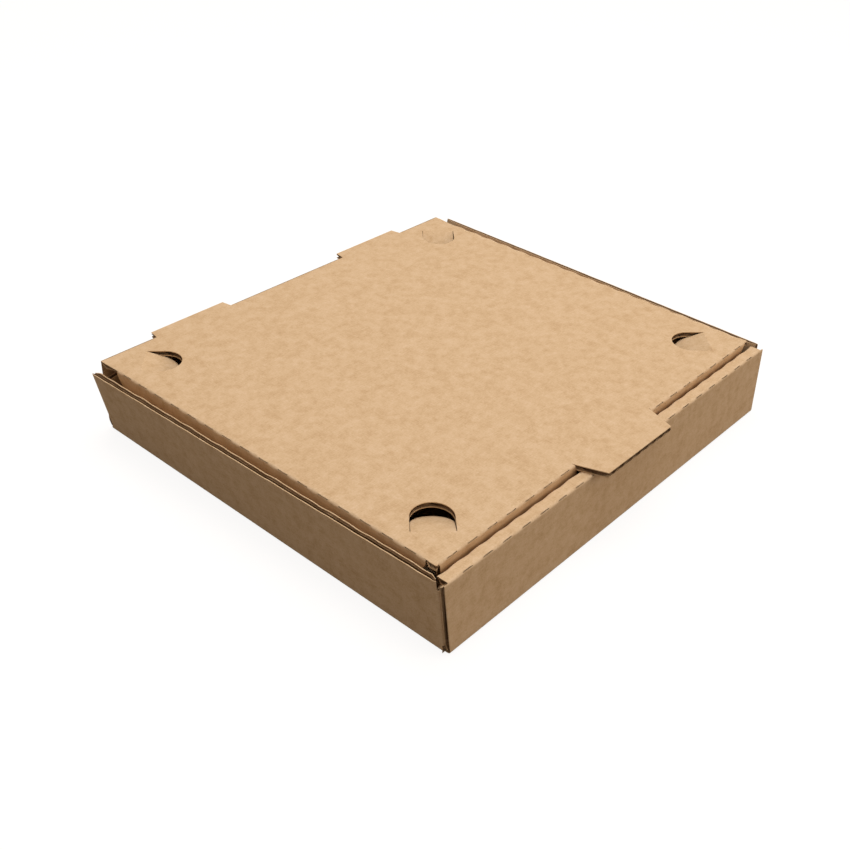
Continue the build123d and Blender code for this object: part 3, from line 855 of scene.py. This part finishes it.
def vent_outline(right, back, grow, root):
    """Outline of a vent: a hinge line, straight sides and a round end that points into the lid."""
    side, end = (1 if right else -1), (1 if back else -1)
    crease_y = hinge_y if back else LID_FRONT
    spot = np.array((side * (lid_half(crease_y) - VENT_SET), crease_y - end * VENT_SET))
    inward = np.array((-side, -end)) / sqrt(2)
    across = np.array((inward[1], -inward[0]))
    half = VENT_WIDE / 2 + grow
    straight = VENT_LONG - VENT_WIDE / 2
    local = [(-half, root), (half, root)]
    local += [(half * cos(a), straight + half * sin(a)) for a in np.linspace(0, pi, 25)]
    return [tuple(spot + across * u + inward * v) for u, v in local], spot, across


corners = {
    "front_left": (False, False), "front_right": (True, False),
    "back_left": (False, True), "back_right": (True, True),
}
lid_layers = board_layers(lid_outline, (335.0, 284.0), (tuck_end + hinge_y + HEEL_LENGTH) / 2)
mitre = tan(radians(VENT_MITRE))
vent_holes = []
for right, back in corners.values():
    high = vent_outline(right, back, CUT, mitre * 1.0)[0]
    low = vent_outline(right, back, CUT, -mitre * (BOARD + 1))[0]
    vent_holes.append(slab(high, low, -1, BOARD + 1))
vent_layers = {}
for corner, (right, back) in corners.items():
    high = vent_outline(right, back, 0, -mitre)[0]
    low = vent_outline(right, back, 0, mitre * (BOARD + 1))[0]
    plug = slab(high, low, -1, BOARD + 1)
    vent_layers[corner] = {name: cut(layer.copy(), plug.copy(), "INTERSECT") for name, layer in lid_layers.items()}
fold_board(
    "lid", lid_layers, lid_creases, thumb_cuts + vent_holes, "lid", "lid", seat_lid, crush_lid, rule_hinge
)

# ------------------------------------------------------------------------------------------------
# Vent flaps: four round-ended flaps punched in the corners of the lid, still joined to it along
# their hinge lines, and pushed a little way into the box.
# ------------------------------------------------------------------------------------------------
for corner, (right, back) in corners.items():
    spot, across = vent_outline(right, back, 0, 0)[1:]
    pivot = Vector((*spot, LID_Z))
    drop = Matrix.Rotation(radians(-VENT_DROP), 3, Vector((*across, 0)))

    def seat_vent(flat, place, pivot=pivot, drop=drop):
        raised = seat_lid(flat, place)
        return np.array([pivot + drop @ (Vector(p) - pivot) for p in raised])

    fold_board(
        f"vent_flap_{corner}", vent_layers[corner], [], [], f"vent_flap_{corner}", f"vent_flap_{corner}",
        seat_vent, lambda flat: (np.ones(len(flat)), np.zeros(len(flat))),
    )

# ------------------------------------------------------------------------------------------------
# Floor, light and camera: a plain white floor that keeps the box's shadow, a wide soft light from
# above, and a view from the front left corner.
# ------------------------------------------------------------------------------------------------
floor_mesh = bpy.data.meshes.new("studio_floor")
floor_mesh.from_pydata([(-6, -6, -0.0002), (6, -6, -0.0002), (6, 6, -0.0002), (-6, 6, -0.0002)], [], [(0, 1, 2, 3)])
studio_floor = bpy.data.objects.new("studio_floor", floor_mesh)
bpy.context.scene.collection.objects.link(studio_floor)
studio_floor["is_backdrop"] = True
floor_paint = bpy.data.materials.new("studio_white")
floor_paint.use_nodes = True
tree = floor_paint.node_tree
nodes = tree.nodes
shader = nodes["Principled BSDF"]
shader.inputs["Base Color"].default_value = (0.16, 0.145, 0.13, 1)
shader.inputs["Roughness"].default_value = 1.0
shader.inputs["Specular IOR Level"].default_value = 0.0
path = nodes.new("ShaderNodeLightPath")
seen = nodes.new("ShaderNodeMath")
seen.operation = "MAXIMUM"
wire(tree, path.outputs["Is Camera Ray"], seen.inputs[0])
wire(tree, path.outputs["Is Glossy Ray"], seen.inputs[1])
seen_through = nodes.new("ShaderNodeMath")
seen_through.operation = "MAXIMUM"
wire(tree, seen.outputs[0], seen_through.inputs[0])
wire(tree, path.outputs["Is Transmission Ray"], seen_through.inputs[1])
glow = nodes.new("ShaderNodeMath")
glow.operation = "MULTIPLY"
glow.inputs[1].default_value = 0.90
wire(tree, seen_through.outputs[0], glow.inputs[0])
shader.inputs["Emission Color"].default_value = (1, 1, 1, 1)
wire(tree, glow.outputs[0], shader.inputs["Emission Strength"])
floor_mesh.materials.append(floor_paint)

world = bpy.data.worlds.new("studio")
bpy.context.scene.world = world
world.use_nodes = True
tree = world.node_tree
nodes = tree.nodes
plain = nodes["Background"]
plain.inputs["Color"].default_value = (1.0, 0.86, 0.74, 1)
plain.inputs["Strength"].default_value = 0.42
white = nodes.new("ShaderNodeBackground")
white.inputs["Color"].default_value = (1, 1, 1, 1)
choose = nodes.new("ShaderNodeMixShader")
path = nodes.new("ShaderNodeLightPath")
wire(tree, path.outputs["Is Camera Ray"], choose.inputs[0])
wire(tree, plain.outputs[0], choose.inputs[1])
wire(tree, white.outputs[0], choose.inputs[2])
wire(tree, choose.outputs[0], nodes["World Output"].inputs["Surface"])

for name, place, size, power, tone in (
    ("overhead", (0.15, 0.10, 1.5), 1.0, 15.0, (0.97, 0.98, 1.0)),
    ("front_right", (0.9, -1.1, 0.55), 0.8, 5.5, (1.0, 0.88, 0.76)),
):
    lamp = bpy.data.lights.new(name, "AREA")
    lamp.size = size
    lamp.energy = power
    lamp.color = tone
    holder = bpy.data.objects.new(name, lamp)
    holder.location = place
    holder.rotation_mode = "QUATERNION"
    holder.rotation_quaternion = (Vector((0, 0, 0.02)) - Vector(place)).to_track_quat("-Z", "Y")
    bpy.context.scene.collection.objects.link(holder)

AZIMUTH, ELEVATION, ROLL = radians(-48.44), radians(34.31), radians(1.52)
DISTANCE, AIM = 0.6022, Vector((-0.00957, 0.00097, 0.0))
camera_data = bpy.data.cameras.new("camera")
camera_data.sensor_width = 36.0
camera_data.lens = 46.41
camera = bpy.data.objects.new("camera", camera_data)
bpy.context.scene.collection.objects.link(camera)
back = Vector((sin(AZIMUTH) * cos(ELEVATION), -cos(AZIMUTH) * cos(ELEVATION), sin(ELEVATION)))
level = Vector((0, 0, 1)).cross(back).normalized()
upright = back.cross(level)
rolled = level * cos(ROLL) + upright * sin(ROLL)
upright = upright * cos(ROLL) - level * sin(ROLL)
camera.location = AIM + back * DISTANCE
camera.rotation_mode = "QUATERNION"
camera.rotation_quaternion = Matrix((rolled, upright, back)).transposed().to_quaternion()
bpy.context.scene.camera = camera
bpy.context.scene.view_settings.view_transform = "Standard"

low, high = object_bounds()
